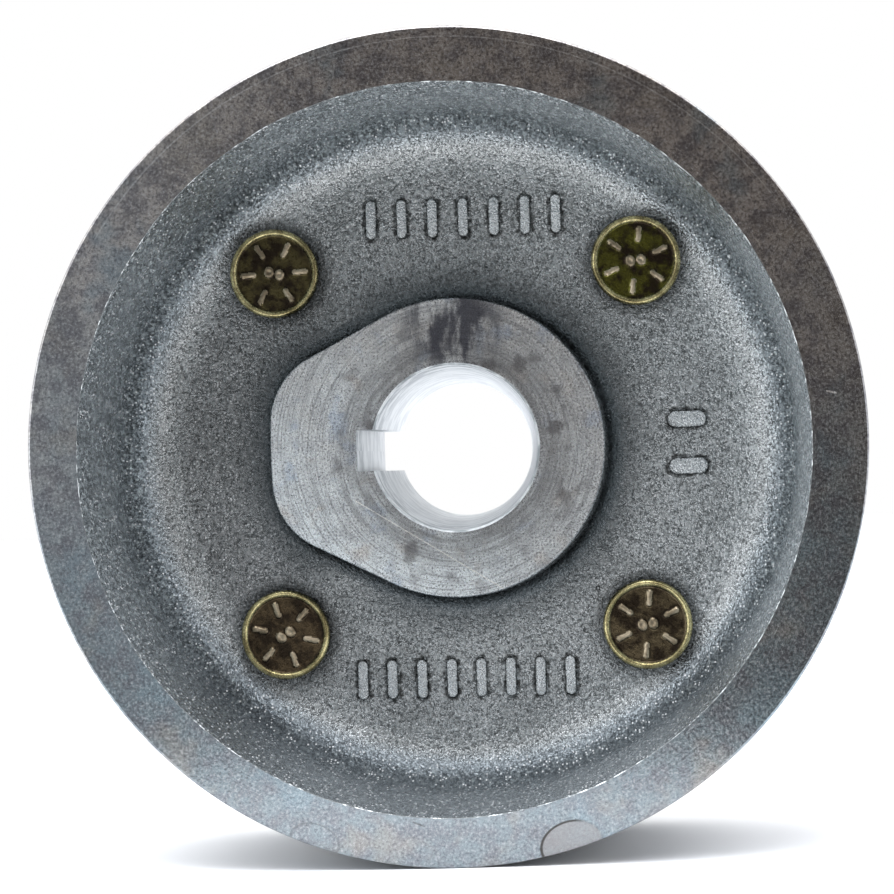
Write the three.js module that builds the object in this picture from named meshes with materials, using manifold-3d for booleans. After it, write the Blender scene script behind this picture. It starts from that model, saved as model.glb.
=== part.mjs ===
// Small engine flywheel: a deep, cup-shaped iron casting with four pressed-in studs.
//
// Millimetres. The wheel turns about Y. The open, recessed front faces -Y and the studs point to +Y.
// +Z is up and the keyway is on the -X side of the bore. The origin is on the axis, in the plane of the
// hub's front face, which is where the tapered bore is widest.

import * as THREE from "three";
import { mergeVertices } from "three/addons/utils/BufferGeometryUtils.js";
import Module from "manifold-3d";

const wasm = await Module();
wasm.setup();

// Planes along the axis, from the front to the back.
const RIM_FRONT_Y = -24.3;
const HUB_FRONT_Y = 0;
const WEB_FRONT_Y = 15.7;
const WEB_BACK_Y = 27.7;
const HUB_BACK_Y = 31;

// Rim: outside diameter, the rounded rear corner and the flat rear face.
const RIM_RADIUS = 61;
const RIM_FRONT_CHAMFER = 0.3;
const REAR_CORNER_RADIUS = 7;
const PILOT_RADIUS = 21;
const PILOT_CHAMFER = 0.8;

// Front recess. It is cast, so its centre is slightly off the machined axis.
const RECESS_CENTRE_X = -0.48;
const RECESS_CENTRE_Z = -0.42;
const RECESS_MOUTH_RADIUS = 53.3;
const RECESS_WALL_END_RADIUS = 52.8;
const RECESS_FILLET_RADIUS = 7;

// Hub boss: a round barrel with a lobe over the keyway.
const HUB_RADIUS = 22.9;
const LOBE_CORNER_RADIUS = 11.4;
const LOBE_CORNER_X = -16.9;
const LOBE_CORNER_Z = 4.3;
const LOBE_REACH = 28.4;
const HUB_DRAFT = THREE.MathUtils.degToRad(2.5);
const HUB_FILLET_RADIUS = 3;

// Tapered bore, 1 in 8 on the diameter, and a keyway that follows the taper.
const BORE_RADIUS = 12.7;
const BORE_SLOPE = 1 / 16;
const KEY_WIDTH = 6.35;
const KEY_FLOOR = 15.15;
const KEY_FLOOR_SLOPE = 0.055;

// Pressed-in studs on one bolt circle.
const STUD_CIRCLE_RADIUS = 40.4;
const STUD_NAMES = ["stud_upper_right", "stud_upper_left", "stud_lower_left", "stud_lower_right"];
const STUD_FIRST_ANGLE = Math.PI / 4;
const STUD_HEAD_RADIUS = 7;
const STUD_HEAD_HEIGHT = 2.9;
const STUD_HEAD_RIM = 0.75;
const STUD_HEAD_DISH = 0.35;
const STUD_KNURL_RADIUS = 5.15;
const STUD_KNURL_LENGTH = 9;
const STUD_SHANK_RADIUS = 4.76;
const STUD_LENGTH = 34;
const STUD_END_CHAMFER = 1.2;

// Touching pieces keep this gap, and cutting tools run past the faces that they cut by OVERRUN.
const GAP = 0.3;
const OVERRUN = 1;

// Plain raised bars cast on the web, in three groups.
const MARK_HEIGHT = 0.7;
const MARK_GROUPS = [
  { count: 7, turn: 0, start: -13.2, pitch: 4.9, distance: 36.6, length: 6.2, width: 1.7 },
  { count: 8, turn: Math.PI, start: -16.2, pitch: 4.7, distance: 36.3, length: 6.2, width: 1.7 },
  { count: 2, turn: Math.PI / 2, start: -3.5, pitch: 7.4, distance: 35.8, length: 6.2, width: 2.6 },
];

// How finely round shapes are divided.
const CASTING_SEGMENTS = 80;
const STUD_SEGMENTS = 28;
const FILLET_STEPS = 5;
const BARREL_STEPS = 40;
const LOBE_CORNER_STEPS = 6;
const LOBE_END_STEPS = 4;
const MARK_END_STEPS = 4;
const HUB_FILLET_PARTS = [0, 0.35, 0.7, 0.92, 1];
const MERGE_DISTANCE = 1e-4;

const zincPlatedIron = new THREE.MeshStandardMaterial({ color: 0x8f969b, roughness: 0.5, metalness: 0.9 });
const yellowZincSteel = new THREE.MeshStandardMaterial({ color: 0x7a6b3c, roughness: 0.4, metalness: 0.9 });

function corner(x, y) {
  return new THREE.Vector2(x, y);
}

// Points on an arc about (cx, cy), from one angle to another, both ends included.
function arc(cx, cy, radius, from, to, steps) {
  return Array.from({ length: steps + 1 }, (_, i) => {
    const angle = from + ((to - from) * i) / steps;
    return corner(cx + radius * Math.cos(angle), cy + radius * Math.sin(angle));
  });
}

// A closed three.js geometry as a solid: vertices shared, collapsed triangles dropped, faces pointing out.
function solid(source) {
  const geometry = source.clone();
  geometry.deleteAttribute("normal");
  geometry.deleteAttribute("uv");
  const merged = mergeVertices(geometry, MERGE_DISTANCE);
  const place = merged.getAttribute("position");
  const index = merged.getIndex().array;
  const triangles = [];
  let volume = 0;
  const [a, b, c] = [new THREE.Vector3(), new THREE.Vector3(), new THREE.Vector3()];
  for (let i = 0; i < index.length; i += 3) {
    const [p, q, r] = [index[i], index[i + 1], index[i + 2]];
    if (p === q || q === r || r === p) continue;
    triangles.push(p, q, r);
    a.fromBufferAttribute(place, p);
    b.fromBufferAttribute(place, q);
    c.fromBufferAttribute(place, r);
    volume += a.dot(b.cross(c));
  }
  if (volume < 0) triangles.reverse();
  return new wasm.Manifold(
    new wasm.Mesh({
      numProp: 3,
      vertProperties: new Float32Array(place.array),
      triVerts: new Uint32Array(triangles),
    }),
  );
}

function geometryOf(manifold) {
  const mesh = manifold.getMesh();
  const geometry = new THREE.BufferGeometry();
  geometry.setAttribute("position", new THREE.BufferAttribute(mesh.vertProperties, 3));
  geometry.setIndex(new THREE.BufferAttribute(mesh.triVerts, 1));
  geometry.computeVertexNormals();
  return geometry;
}

// A body of revolution about Y. Profile points are (radius, y).
function turned(points, segments) {
  return new THREE.LatheGeometry(points, segments);
}

// Rim, web and pilot as one solid drum, before the recess is taken out.
function drum() {
  const cornerCentreR = RIM_RADIUS - REAR_CORNER_RADIUS;
  const cornerCentreY = WEB_BACK_Y - REAR_CORNER_RADIUS;
  return solid(
    turned(
      [
        corner(0, RIM_FRONT_Y),
        corner(RIM_RADIUS - RIM_FRONT_CHAMFER, RIM_FRONT_Y),
        corner(RIM_RADIUS, RIM_FRONT_Y + RIM_FRONT_CHAMFER),
        ...arc(cornerCentreR, cornerCentreY, REAR_CORNER_RADIUS, 0, Math.PI / 2, FILLET_STEPS),
        corner(PILOT_RADIUS, WEB_BACK_Y),
        corner(PILOT_RADIUS, HUB_BACK_Y - PILOT_CHAMFER),
        corner(PILOT_RADIUS - PILOT_CHAMFER, HUB_BACK_Y),
        corner(0, HUB_BACK_Y),
      ],
      CASTING_SEGMENTS,
    ),
  );
}

// The space inside the cup: a drafted wall, a large fillet and the flat front of the web.
function recess() {
  const filletCentreR = RECESS_WALL_END_RADIUS - RECESS_FILLET_RADIUS;
  const filletCentreY = WEB_FRONT_Y - RECESS_FILLET_RADIUS;
  const draft = (RECESS_MOUTH_RADIUS - RECESS_WALL_END_RADIUS) / (filletCentreY - RIM_FRONT_Y);
  const geometry = turned(
    [
      corner(0, RIM_FRONT_Y - OVERRUN),
      corner(RECESS_MOUTH_RADIUS + draft * OVERRUN, RIM_FRONT_Y - OVERRUN),
      ...arc(filletCentreR, filletCentreY, RECESS_FILLET_RADIUS, 0, Math.PI / 2, FILLET_STEPS),
      corner(0, WEB_FRONT_Y),
    ],
    CASTING_SEGMENTS,
  );
  return solid(geometry.translate(RECESS_CENTRE_X, 0, RECESS_CENTRE_Z));
}

// The hub's outline, grown by an offset. Barrel, lobe corners and lobe end are arcs that meet smoothly.
// Its points are (x, z).
function hubOutline(offset) {
  const cornerDistance = Math.hypot(LOBE_CORNER_X, LOBE_CORNER_Z);
  const cornerAngle = Math.atan2(LOBE_CORNER_Z, LOBE_CORNER_X);
  const flank = cornerAngle - Math.acos((HUB_RADIUS - LOBE_CORNER_RADIUS) / cornerDistance);
  const reachToCorner = LOBE_REACH + LOBE_CORNER_X;
  const sag = reachToCorner - LOBE_CORNER_RADIUS;
  const endRadius = LOBE_CORNER_RADIUS + (LOBE_CORNER_Z ** 2 + sag ** 2) / (2 * sag);
  const endX = endRadius - LOBE_REACH;
  const endAngle = Math.atan2(LOBE_CORNER_Z, LOBE_CORNER_X - endX);
  const end = arc(endX, 0, endRadius + offset, endAngle, 2 * Math.PI - endAngle, LOBE_END_STEPS);
  const cornerRadius = LOBE_CORNER_RADIUS + offset;
  return [
    ...arc(0, 0, HUB_RADIUS + offset, -flank, flank, BARREL_STEPS),
    ...arc(LOBE_CORNER_X, LOBE_CORNER_Z, cornerRadius, flank, endAngle, LOBE_CORNER_STEPS),
    ...end.slice(1, -1),
    ...arc(LOBE_CORNER_X, -LOBE_CORNER_Z, cornerRadius, -endAngle, -flank, LOBE_CORNER_STEPS),
  ];
}

// A closed body whose outline changes along Y. Each section is { y, outline } with equal point counts.
function lofted(sections) {
  const count = sections[0].outline.length;
  const places = sections.flatMap(({ y, outline }) => outline.flatMap((p) => [p.x, y, p.y]));
  const triangles = [];
  for (let s = 0; s + 1 < sections.length; s++) {
    for (let i = 0; i < count; i++) {
      const [low, lowNext] = [s * count + i, s * count + ((i + 1) % count)];
      triangles.push(low, low + count, lowNext, lowNext, low + count, lowNext + count);
    }
  }
  const cap = THREE.ShapeUtils.triangulateShape(sections[0].outline, []);
  const top = (sections.length - 1) * count;
  for (const [a, b, c] of cap) {
    triangles.push(a, b, c);
    triangles.push(top + a, top + c, top + b);
  }
  const geometry = new THREE.BufferGeometry();
  geometry.setAttribute("position", new THREE.Float32BufferAttribute(places, 3));
  geometry.setAttribute("normal", new THREE.Float32BufferAttribute(new Array(places.length).fill(0), 3));
  geometry.setIndex(triangles);
  return geometry;
}

// The boss grows with the casting's draft and runs into the web through a fillet.
function hubBoss() {
  const draftAt = (y) => (y - HUB_FRONT_Y) * Math.tan(HUB_DRAFT);
  const filletStart = WEB_FRONT_Y - HUB_FILLET_RADIUS;
  const sections = [{ y: HUB_FRONT_Y, outline: hubOutline(0) }];
  for (const part of HUB_FILLET_PARTS) {
    const angle = (part * Math.PI) / 2;
    const y = filletStart + HUB_FILLET_RADIUS * Math.sin(angle);
    const flare = HUB_FILLET_RADIUS * (1 - Math.cos(angle));
    sections.push({ y, outline: hubOutline(draftAt(filletStart) + flare) });
  }
  const root = hubOutline(draftAt(filletStart) + HUB_FILLET_RADIUS);
  sections.push({ y: WEB_FRONT_Y + OVERRUN, outline: root });
  return solid(lofted(sections));
}

function boreCut() {
  const front = HUB_FRONT_Y - OVERRUN;
  const back = HUB_BACK_Y + OVERRUN;
  return solid(
    turned(
      [
        corner(0, front),
        corner(BORE_RADIUS - BORE_SLOPE * front, front),
        corner(BORE_RADIUS - BORE_SLOPE * back, back),
        corner(0, back),
      ],
      CASTING_SEGMENTS,
    ),
  );
}

function keywayCut() {
  const front = HUB_FRONT_Y - OVERRUN;
  const back = HUB_BACK_Y + OVERRUN;
  const slot = new THREE.Shape([
    corner(0, front),
    corner(0, back),
    corner(-KEY_FLOOR + KEY_FLOOR_SLOPE * back, back),
    corner(-KEY_FLOOR + KEY_FLOOR_SLOPE * front, front),
  ]);
  const geometry = new THREE.ExtrudeGeometry(slot, { depth: KEY_WIDTH, bevelEnabled: false });
  return solid(geometry.translate(0, 0, -KEY_WIDTH / 2));
}

function studPlace(i) {
  const angle = STUD_FIRST_ANGLE + (i * Math.PI) / 2;
  return new THREE.Vector3(STUD_CIRCLE_RADIUS * Math.cos(angle), 0, STUD_CIRCLE_RADIUS * Math.sin(angle));
}

// The stud's hole through the web, and the clearance for its head where the recess fillet would meet it.
function studHoleCut(place) {
  const holeLength = WEB_BACK_Y - WEB_FRONT_Y + 2 * OVERRUN;
  const holeRadius = STUD_KNURL_RADIUS + GAP;
  const hole = new THREE.CylinderGeometry(holeRadius, holeRadius, holeLength, STUD_SEGMENTS);
  hole.translate(place.x, (WEB_FRONT_Y + WEB_BACK_Y) / 2, place.z);
  const seatLength = RECESS_FILLET_RADIUS;
  const seatRadius = STUD_HEAD_RADIUS + GAP;
  const seat = new THREE.CylinderGeometry(seatRadius, seatRadius, seatLength, STUD_SEGMENTS);
  seat.translate(place.x, WEB_FRONT_Y - seatLength / 2, place.z);
  return solid(hole).add(solid(seat));
}

// One raised bar with round ends, standing on the web's front face.
function raisedMark(length, width) {
  const radius = width / 2;
  const straight = length / 2 - radius;
  const outline = new THREE.Shape([
    ...arc(0, straight, radius, 0, Math.PI, MARK_END_STEPS),
    ...arc(0, -straight, radius, Math.PI, 2 * Math.PI, MARK_END_STEPS),
  ]);
  const depth = MARK_HEIGHT + OVERRUN;
  const geometry = new THREE.ExtrudeGeometry(outline, { depth, bevelEnabled: false });
  return geometry.rotateX(-Math.PI / 2).translate(0, WEB_FRONT_Y - MARK_HEIGHT, 0);
}

function raisedMarks() {
  const marks = [];
  for (const { count, turn, start, pitch, distance, length, width } of MARK_GROUPS) {
    for (let i = 0; i < count; i++) {
      const bar = raisedMark(length, width).translate(start + i * pitch, 0, distance);
      marks.push(solid(bar.rotateY(turn)));
    }
  }
  return marks;
}

function flywheelCasting() {
  let body = drum().subtract(recess()).add(hubBoss());
  for (const mark of raisedMarks()) body = body.add(mark);
  STUD_NAMES.forEach((_, i) => {
    body = body.subtract(studHoleCut(studPlace(i)));
  });
  return body.subtract(boreCut()).subtract(keywayCut());
}

// One stud along Y, head at the front. The head's underside is at y = 0.
function studGeometry() {
  const dishRadius = STUD_HEAD_RADIUS - STUD_HEAD_RIM;
  return turned(
    [
      corner(0, -STUD_HEAD_HEIGHT + STUD_HEAD_DISH),
      corner(dishRadius - STUD_HEAD_DISH, -STUD_HEAD_HEIGHT + STUD_HEAD_DISH),
      corner(dishRadius, -STUD_HEAD_HEIGHT),
      corner(STUD_HEAD_RADIUS - STUD_HEAD_DISH, -STUD_HEAD_HEIGHT),
      corner(STUD_HEAD_RADIUS, -STUD_HEAD_HEIGHT + STUD_HEAD_DISH),
      corner(STUD_HEAD_RADIUS, 0),
      corner(STUD_KNURL_RADIUS, 0),
      corner(STUD_KNURL_RADIUS, STUD_KNURL_LENGTH),
      corner(STUD_SHANK_RADIUS, STUD_KNURL_LENGTH + STUD_KNURL_RADIUS - STUD_SHANK_RADIUS),
      corner(STUD_SHANK_RADIUS, STUD_LENGTH - STUD_END_CHAMFER),
      corner(STUD_SHANK_RADIUS - STUD_END_CHAMFER, STUD_LENGTH),
      corner(0, STUD_LENGTH),
    ],
    STUD_SEGMENTS,
  );
}

function named(name, manifold, material) {
  const mesh = new THREE.Mesh(geometryOf(manifold), material);
  mesh.name = name;
  return mesh;
}

const group = new THREE.Group();
group.name = "flywheel";
group.add(named("flywheel_casting", flywheelCasting(), zincPlatedIron));
STUD_NAMES.forEach((name, i) => {
  const stud = named(name, solid(studGeometry()), yellowZincSteel);
  stud.position.copy(studPlace(i));
  stud.position.y = WEB_FRONT_Y - GAP;
  group.add(stud);
});

export default group;
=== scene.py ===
import math
import random

import bmesh
import bpy
import numpy as np
from mathutils import Matrix, Vector, noise


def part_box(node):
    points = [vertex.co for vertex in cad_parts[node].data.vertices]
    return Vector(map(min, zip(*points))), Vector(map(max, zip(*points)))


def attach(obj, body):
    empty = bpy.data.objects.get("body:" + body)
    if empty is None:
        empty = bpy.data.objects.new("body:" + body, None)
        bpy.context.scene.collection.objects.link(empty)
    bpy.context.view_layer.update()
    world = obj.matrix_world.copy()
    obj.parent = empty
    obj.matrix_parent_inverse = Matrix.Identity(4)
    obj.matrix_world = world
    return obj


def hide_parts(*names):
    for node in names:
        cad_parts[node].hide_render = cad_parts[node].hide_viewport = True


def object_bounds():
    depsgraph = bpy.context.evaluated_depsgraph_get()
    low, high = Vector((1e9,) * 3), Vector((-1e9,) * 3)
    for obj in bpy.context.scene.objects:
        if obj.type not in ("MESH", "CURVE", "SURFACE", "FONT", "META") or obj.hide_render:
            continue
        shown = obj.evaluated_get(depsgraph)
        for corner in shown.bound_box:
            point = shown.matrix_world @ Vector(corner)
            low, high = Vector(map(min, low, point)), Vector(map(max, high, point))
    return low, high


# The flywheel in metres, in the CAD frame: the axis is Y, the open front faces -Y, +Z is up and the
# keyway is on the -X side. The casting and the studs are rebuilt here as fine meshes of the same size.
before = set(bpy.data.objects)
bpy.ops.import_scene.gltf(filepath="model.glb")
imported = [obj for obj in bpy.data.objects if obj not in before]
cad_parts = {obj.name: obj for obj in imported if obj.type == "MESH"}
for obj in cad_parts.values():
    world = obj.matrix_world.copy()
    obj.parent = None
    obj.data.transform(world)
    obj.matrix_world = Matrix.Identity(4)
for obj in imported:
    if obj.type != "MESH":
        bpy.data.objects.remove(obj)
CAD_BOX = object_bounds()
CASTING_LOW, CASTING_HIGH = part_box("flywheel_casting")
STUD_NODES = ["stud_upper_right", "stud_upper_left", "stud_lower_left", "stud_lower_right"]

MM = 0.001
# How far a cutting tool reaches past the surface it cuts, and how finely a round body is divided.
OVERRUN = 1 * MM
ROUND_STEPS = 360

# Planes along the axis.
RIM_FRONT_Y = CASTING_LOW.y
HUB_FRONT_Y = 0.0
WEB_FRONT_Y = 15.7 * MM
WEB_BACK_Y = 27.7 * MM
HUB_BACK_Y = CASTING_HIGH.y

# Rim and rear.
RIM_RADIUS = CASTING_HIGH.x
RIM_EDGE = 0.35 * MM
REAR_CORNER_RADIUS = 7 * MM
PILOT_RADIUS = 21 * MM
PILOT_CHAMFER = 0.8 * MM

# Front recess, cast a little off the machined axis.
RECESS_CENTRE = (-0.48 * MM, -0.42 * MM)
RECESS_MOUTH_RADIUS = 53.3 * MM
RECESS_WALL_END_RADIUS = 52.8 * MM
RECESS_FILLET_RADIUS = 7 * MM
RECESS_EDGE_BREAK = 0.1 * MM

# Hub boss with its lobe.
HUB_RADIUS = 22.9 * MM
LOBE_CORNER_RADIUS = 11.4 * MM
LOBE_CORNER_X = -16.9 * MM
LOBE_CORNER_Z = 4.3 * MM
LOBE_REACH = 28.4 * MM
HUB_DRAFT = math.radians(2.5)
HUB_FILLET_RADIUS = 3 * MM
HUB_EDGE_BREAK = 0.12 * MM

# Bore and keyway.
BORE_RADIUS = 12.7 * MM
BORE_SLOPE = 1 / 16
BORE_CHAMFER = 0.3 * MM
KEY_WIDTH = 6.35 * MM
KEY_FLOOR = 15.15 * MM
KEY_FLOOR_SLOPE = 0.055

# Studs.
STUD_CIRCLE_RADIUS = 40.4 * MM
STUD_HEAD_RADIUS = 7 * MM
STUD_HEAD_HEIGHT = 2.9 * MM
STUD_GAP = 0.3 * MM
STUD_KNURL_RADIUS = 5.15 * MM
STUD_KNURL_LENGTH = 9 * MM
STUD_SHANK_RADIUS = 4.76 * MM
STUD_LENGTH = 34 * MM
STUD_END_CHAMFER = 1.2 * MM
THREAD_PITCH = 25.4 * MM / 24
THREAD_DEPTH = 0.6 * MM
THREAD_START = 14 * MM

# The head's face, measured up from its dish, and how it is divided.
HEAD_DISH_DEPTH = 0.42 * MM
HEAD_RIM_FOOT = 5.85 * MM
HEAD_RIM_TOP = 6.35 * MM
HEAD_EDGE_WIDTH = 0.5 * MM
HEAD_EDGE_DROP = 0.34 * MM
HEAD_RINGS = 44
RIB_COUNT = 6
RIB_START = 3.2 * MM
RIB_END = 5 * MM
RIB_HEIGHT = 0.32 * MM
RIB_TOP = 0.22 * MM
RIB_FOOT = 0.52 * MM
PAD_SIDE = 0.8 * MM
PAD_SHIFT = 0.25 * MM
PAD_HEIGHT = 0.3 * MM

# Knurl, neck and thread of a stud.
KNURL_TEETH = 36
KNURL_TOOTH = 0.18 * MM
KNURL_ROOT_RADIUS = STUD_KNURL_RADIUS - 0.2 * MM
KNURL_LEAD = 0.3 * MM
NECK_SINK = 0.25 * MM
NECK_MARGIN = 0.5 * MM
THREAD_ROWS_PER_TURN = 10
STUD_STEPS = 144

# Rows of raised bars on the web. Each row is the number of bars, then the place of the first one, the
# pitch, the distance from the axis, the length and the width in millimetres, and the quarter turns
# that the row stands away from the top.
BAR_ROWS = [
    (7, -13.2, 4.9, 36.6, 6.2, 1.7, 0),
    (8, -16.2, 4.7, 36.3, 6.2, 1.7, 2),
    (2, -3.5, 7.4, 35.8, 6.2, 2.6, 1),
]
BAR_HEIGHT = 0.6 * MM
# Going up a bar: the share of its height, or a depth below the web where it is negative, and how far
# the outline is grown there in millimetres.
BAR_LEVELS = [
    (-OVERRUN, 0.4),
    (0.0, 0.35),
    (0.12, 0.12),
    (0.35, 0.02),
    (0.8, -0.03),
    (0.94, -0.1),
    (1.0, -0.24),
]

# Pores in the web: one large one below the hub, and small ones in a band round it. The band and the
# sizes of the small ones are in millimetres.
LARGE_PORE_PLACE = (20.9 * MM, -22.8 * MM)
LARGE_PORE_SIZE = (0.42 * MM, 0.5 * MM, 0.42 * MM)
PORE_TRIES = 26
PORE_BAND = (27, 44)
PORE_SIZES = (0.12, 0.26)


# ---------------------------------------------------------------------------------------------- meshes


def new_object(name, vertices, faces):
    """An object of this mesh, in the scene."""
    mesh = bpy.data.meshes.new(name)
    mesh.from_pydata([tuple(v) for v in vertices], [], faces)
    mesh.validate()
    obj = bpy.data.objects.new(name, mesh)
    bpy.context.scene.collection.objects.link(obj)
    return obj


def face_out(obj):
    """Turns every face outwards."""
    shape = bmesh.new()
    shape.from_mesh(obj.data)
    bmesh.ops.recalc_face_normals(shape, faces=shape.faces)
    shape.to_mesh(obj.data)
    shape.free()
    return obj


def arc(cx, cy, radius, start, end, steps):
    """Points on an arc, both ends included."""
    angles = [start + (end - start) * i / steps for i in range(steps + 1)]
    return [(cx + radius * math.cos(a), cy + radius * math.sin(a)) for a in angles]


def spread(start, end, step):
    """Points on a straight line between two points, no further apart than step, the end left out."""
    count = max(1, math.ceil(math.dist(start, end) / step))
    return [
        (start[0] + (end[0] - start[0]) * i / count, start[1] + (end[1] - start[1]) * i / count)
        for i in range(count)
    ]


def skinned(name, steps, centre, rows, move=None):
    """A closed body about an axis along Y. A row is one point's y, or a function of the angle.

    The function gives the radius and the y there. The first and the last row are points on the axis.
    move(point) may shift a point, so that a cast surface isn't perfectly true."""
    vertices, rings = [], []
    for row in rows:
        if not callable(row):
            rings.append([len(vertices)])
            vertices.append((centre[0], row, centre[1]))
            continue
        ring = []
        for i in range(steps):
            angle = 2 * math.pi * i / steps
            radius, y = row(angle)
            ring.append(len(vertices))
            vertices.append((centre[0] + radius * math.cos(angle), y, centre[1] + radius * math.sin(angle)))
        rings.append(ring)
    faces = []
    for a, b in zip(rings, rings[1:]):
        for i in range(steps):
            j = (i + 1) % steps
            if len(a) == 1:
                faces.append((a[0], b[i], b[j]))
            elif len(b) == 1:
                faces.append((a[i], b[0], a[j]))
            else:
                faces.append((a[i], b[i], b[j], a[j]))
    if move:
        vertices = [move(Vector(v)) for v in vertices]
    return face_out(new_object(name, vertices, faces))


def circle(radius, y):
    """A row of skinned() that is a plain circle."""
    return lambda angle: (radius, y)


def revolved(name, profile, steps=ROUND_STEPS, centre=(0.0, 0.0), move=None):
    """A closed body of revolution. Profile points are (radius, y), from the axis to the axis."""
    rows = [circle(radius, y) if radius > 0 else y for radius, y in profile]
    return skinned(name, steps, centre, rows, move)


def lofted(name, sections, move=None):
    """A closed body through outlines of equal point count. Each section is (y, [(x, z), ...])."""
    count = len(sections[0][1])
    vertices = [Vector((x, y, z)) for y, outline in sections for x, z in outline]
    faces = [tuple(range(count)), tuple(range(len(vertices) - count, len(vertices)))]
    for s in range(len(sections) - 1):
        for i in range(count):
            a, b = s * count + i, s * count + (i + 1) % count
            faces.append((a, a + count, b + count, b))
    if move:
        vertices = [move(v) for v in vertices]
    return face_out(new_object(name, vertices, faces))


def joined(objects):
    """One object that holds the meshes of several."""
    vertices, faces = [], []
    for obj in objects:
        start = len(vertices)
        vertices += [obj.matrix_world @ v.co for v in obj.data.vertices]
        faces += [tuple(start + i for i in p.vertices) for p in obj.data.polygons]
        bpy.data.objects.remove(obj)
    return new_object("joined", vertices, faces)


def combined(target, tool, operation):
    """Changes target by a boolean with tool, which is used up."""
    step = target.modifiers.new("step", "BOOLEAN")
    step.object = tool
    step.operation = operation
    step.solver = "EXACT"
    bpy.context.view_layer.update()
    graph = bpy.context.evaluated_depsgraph_get()
    mesh = bpy.data.meshes.new_from_object(target.evaluated_get(graph))
    target.modifiers.clear()
    old, target.data = target.data, mesh
    bpy.data.meshes.remove(old)
    bpy.data.objects.remove(tool)


def smooth(obj, angle=32):
    """Smooth shading, except at edges that turn by more than angle, in degrees."""
    obj.data.shade_smooth()
    obj.data.set_sharp_from_angle(angle=math.radians(angle))


# --------------------------------------------------------------------------------------------- casting


# How far the sand mould leaves each surface off, and a seed that makes it the same in every run.
RECESS_WOBBLE = 0.12 * MM
BOSS_WOBBLE = 0.07 * MM
BAR_WOBBLE = 0.16 * MM
noise.seed_set(7)


def cast_wobble(strength):
    """A function that shifts a point by up to about strength, slowly over the surface."""

    def move(point):
        wide = noise.noise_vector(point * 110)
        narrow = noise.noise_vector(point * 420)
        return point + (wide * 0.7 + narrow * 0.3) * strength

    return move


def drum():
    """Rim, web and pilot as one solid, before the recess is taken out."""
    corner_r = RIM_RADIUS - REAR_CORNER_RADIUS
    corner_y = WEB_BACK_Y - REAR_CORNER_RADIUS
    edge = arc(RIM_RADIUS - RIM_EDGE, RIM_FRONT_Y + RIM_EDGE, RIM_EDGE, -math.pi / 2, 0, 4)
    profile = [(0, RIM_FRONT_Y)] + edge
    profile += arc(corner_r, corner_y, REAR_CORNER_RADIUS, 0, math.pi / 2, 16)
    profile += [
        (PILOT_RADIUS, WEB_BACK_Y),
        (PILOT_RADIUS, HUB_BACK_Y - PILOT_CHAMFER),
        (PILOT_RADIUS - PILOT_CHAMFER, HUB_BACK_Y),
        (0, HUB_BACK_Y),
    ]
    return revolved("flywheel_casting_mesh", profile)


def recess_tool():
    """The space inside the cup, with the cast unevenness of its wall, fillet and floor."""
    fillet_r = RECESS_WALL_END_RADIUS - RECESS_FILLET_RADIUS
    fillet_y = WEB_FRONT_Y - RECESS_FILLET_RADIUS
    step = 0.8 * MM
    under_boss = (15 * MM, WEB_FRONT_Y)
    mouth = (RECESS_MOUTH_RADIUS, RIM_FRONT_Y + RECESS_EDGE_BREAK)
    broken = (RECESS_MOUTH_RADIUS + RECESS_EDGE_BREAK, RIM_FRONT_Y)
    wall_end = (RECESS_WALL_END_RADIUS, fillet_y)
    floor_start = (fillet_r, WEB_FRONT_Y)
    profile = [(0, RIM_FRONT_Y - OVERRUN), (broken[0], RIM_FRONT_Y - OVERRUN), broken]
    profile += spread(mouth, wall_end, step)
    profile += arc(fillet_r, fillet_y, RECESS_FILLET_RADIUS, 0, math.pi / 2, 12)[:-1]
    profile += spread(floor_start, under_boss, step)
    profile += [under_boss, (0, WEB_FRONT_Y)]
    return revolved("recess", profile, centre=RECESS_CENTRE, move=cast_wobble(RECESS_WOBBLE))


def hub_outline(offset, steps=180):
    """The hub's outline grown by offset: barrel, lobe corners and lobe end are arcs that meet smoothly."""
    flank = math.atan2(LOBE_CORNER_Z, LOBE_CORNER_X)
    flank -= math.acos((HUB_RADIUS - LOBE_CORNER_RADIUS) / math.hypot(LOBE_CORNER_X, LOBE_CORNER_Z))
    sag = LOBE_REACH + LOBE_CORNER_X - LOBE_CORNER_RADIUS
    end_radius = LOBE_CORNER_RADIUS + (LOBE_CORNER_Z**2 + sag**2) / (2 * sag)
    end_x = end_radius - LOBE_REACH
    end_angle = math.atan2(LOBE_CORNER_Z, LOBE_CORNER_X - end_x)
    corner = LOBE_CORNER_RADIUS + offset
    return (
        arc(0, 0, HUB_RADIUS + offset, -flank, flank, steps)
        + arc(LOBE_CORNER_X, LOBE_CORNER_Z, corner, flank, end_angle, 24)[1:]
        + arc(end_x, 0, end_radius + offset, end_angle, 2 * math.pi - end_angle, 12)[1:-1]
        + arc(LOBE_CORNER_X, -LOBE_CORNER_Z, corner, -end_angle, -flank, 24)[:-1]
    )


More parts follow.
